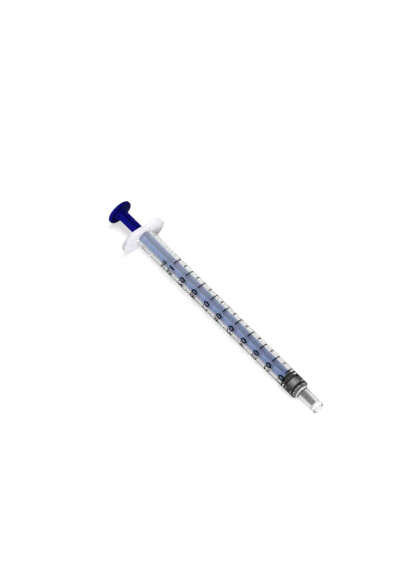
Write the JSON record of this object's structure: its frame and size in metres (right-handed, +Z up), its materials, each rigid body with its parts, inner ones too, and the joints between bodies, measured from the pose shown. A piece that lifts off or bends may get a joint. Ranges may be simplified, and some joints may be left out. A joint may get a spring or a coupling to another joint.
{
  "type": "oral syringe",
  "caption": "Oral dosing syringe: clear graduated barrel with oblong finger flange and tapered nozzle, ribbed plunger rod with thumb disc, and rubber stopper.",
  "frame": {"origin": "bottom centre of the bounding box: under the middle of the length, level with the flange's lower straight edge", "axes": "+X along the barrel towards the nozzle's tip, Y along the finger flange's wings, +Z up, with the printed scale on top"},
  "size_m": [0.094, 0.017, 0.0094],
  "materials": {
    "clear_barrel": "clear, slightly hazy polypropylene, smooth moulded",
    "navy_plunger": "navy blue moulded polyethylene, satin",
    "black_rubber": "black lubricated rubber, smooth",
    "black_ink": "black pad-printed ink"
  },
  "bodies": {
    "barrel": {"barrel": "clear_barrel", "scale_lines": "black_ink"},
    "stopper": {"stopper": "black_rubber"},
    "plunger": {"plunger_rod": "navy_plunger"}
  },
  "joints": [
    {"name": "plunger_slide", "type": "slide", "parent": "barrel", "child": "stopper", "axis": [-1, 0, 0], "range_m": [0, 0.064]},
    {"name": "plunger_spin", "type": "hinge", "parent": "stopper", "child": "plunger", "pos_m": [0, 0, 0.0047], "axis": [1, 0, 0], "continuous": true}
  ]
}
